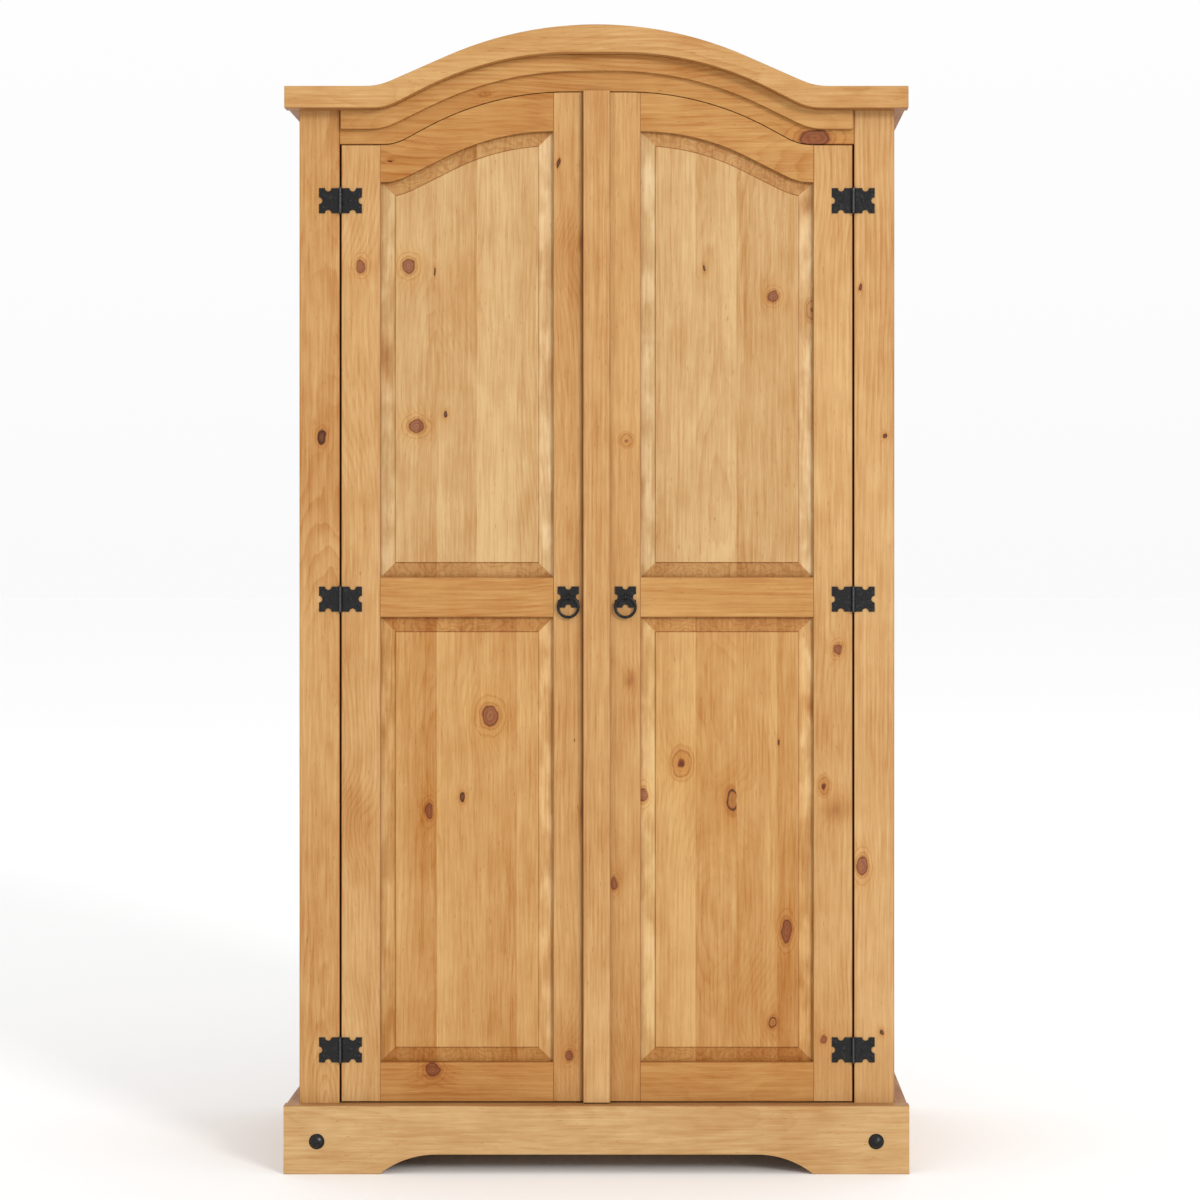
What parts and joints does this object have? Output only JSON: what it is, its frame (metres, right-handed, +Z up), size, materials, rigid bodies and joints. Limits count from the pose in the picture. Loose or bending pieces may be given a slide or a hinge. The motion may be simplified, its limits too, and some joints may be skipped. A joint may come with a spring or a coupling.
{
  "type": "wardrobe with doors",
  "caption": "Pine wardrobe with an arched cornice, hinged doors with raised panels and iron ring pulls, a hanging rail and shelf inside, and a shaped plinth.",
  "frame": {"origin": "middle of the footprint, on the floor", "axes": "+X to the right seen from the front, the doors face -Y, +Z up"},
  "size_m": [1.018, 0.56, 1.87],
  "materials": {
    "pine_frame": "waxed, satin",
    "pine_panel": "waxed, satin",
    "pine_inside": "sanded, matt",
    "pine_back": "plain board, matt",
    "black_iron": "black, semi-matt, lightly hammered",
    "bright_steel": "plated",
    "catch_steel": "zinc plated",
    "catch_plastic": "brown, moulded"
  },
  "bodies": {
    "case": {"back_joint_strip": "pine_inside", "cornice_front": "pine_frame", "floor_cleats": "pine_inside", "floor_panel": "pine_inside", "hanging_rail": "bright_steel", "header_moulding": "pine_frame", "header_rail": "pine_frame", "hinge_case_leaves": "black_iron", "hinge_case_screws": "black_iron", "hinge_pins": "black_iron", "left_back_panel": "pine_back", "left_cornice_side": "pine_frame", "left_face_stile": "pine_frame", "left_plinth_side": "pine_frame", "left_side_front_stile": "pine_frame", "left_side_lower_panel": "pine_panel", "left_side_rails": "pine_frame", "left_side_rear_stile": "pine_frame", "left_side_upper_panel": "pine_panel", "magnet_catches": "catch_plastic", "plinth_front": "pine_frame", "plinth_studs": "black_iron", "rail_sockets": "bright_steel", "right_back_panel": "pine_back", "right_cornice_side": "pine_frame", "right_face_stile": "pine_frame", "right_plinth_side": "pine_frame", "right_side_front_stile": "pine_frame", "right_side_lower_panel": "pine_panel", "right_side_rails": "pine_frame", "right_side_rear_stile": "pine_frame", "right_side_upper_panel": "pine_panel", "shelf": "pine_inside", "shelf_cleats": "pine_inside", "top_panel": "pine_inside"},
    "left_door": {"left_catch_plate": "catch_steel", "left_door_arched_rail": "pine_frame", "left_door_bottom_rail": "pine_frame", "left_door_inner_stile": "pine_frame", "left_door_lower_panel": "pine_panel", "left_door_mid_rail": "pine_frame", "left_door_outer_stile": "pine_frame", "left_door_upper_panel": "pine_panel", "left_hinge_door_leaves": "black_iron", "left_hinge_door_screws": "black_iron", "left_pull_plate": "black_iron"},
    "right_door": {"meeting_strip": "pine_frame", "right_catch_plate": "catch_steel", "right_door_arched_rail": "pine_frame", "right_door_bottom_rail": "pine_frame", "right_door_inner_stile": "pine_frame", "right_door_lower_panel": "pine_panel", "right_door_mid_rail": "pine_frame", "right_door_outer_stile": "pine_frame", "right_door_upper_panel": "pine_panel", "right_hinge_door_leaves": "black_iron", "right_hinge_door_screws": "black_iron", "right_pull_plate": "black_iron"},
    "left_ring": {"left_pull_ring": "black_iron"},
    "right_ring": {"right_pull_ring": "black_iron"}
  },
  "joints": [
    {"name": "left_door_hinge", "type": "hinge", "parent": "case", "child": "left_door", "pos_m": [-0.41925, -0.2518, 0.935], "axis": [0, 0, -1], "range_deg": [0, 175]},
    {"name": "right_door_hinge", "type": "hinge", "parent": "case", "child": "right_door", "pos_m": [0.41925, -0.2518, 0.935], "axis": [0, 0, 1], "range_deg": [0, 175]},
    {"name": "left_ring_swing", "type": "hinge", "parent": "left_door", "child": "left_ring", "pos_m": [-0.04675, -0.2543, 0.9385], "axis": [-1, 0, 0], "range_deg": [0, 170]},
    {"name": "right_ring_swing", "type": "hinge", "parent": "right_door", "child": "right_ring", "pos_m": [0.04675, -0.2543, 0.9385], "axis": [-1, 0, 0], "range_deg": [0, 170]}
  ]
}
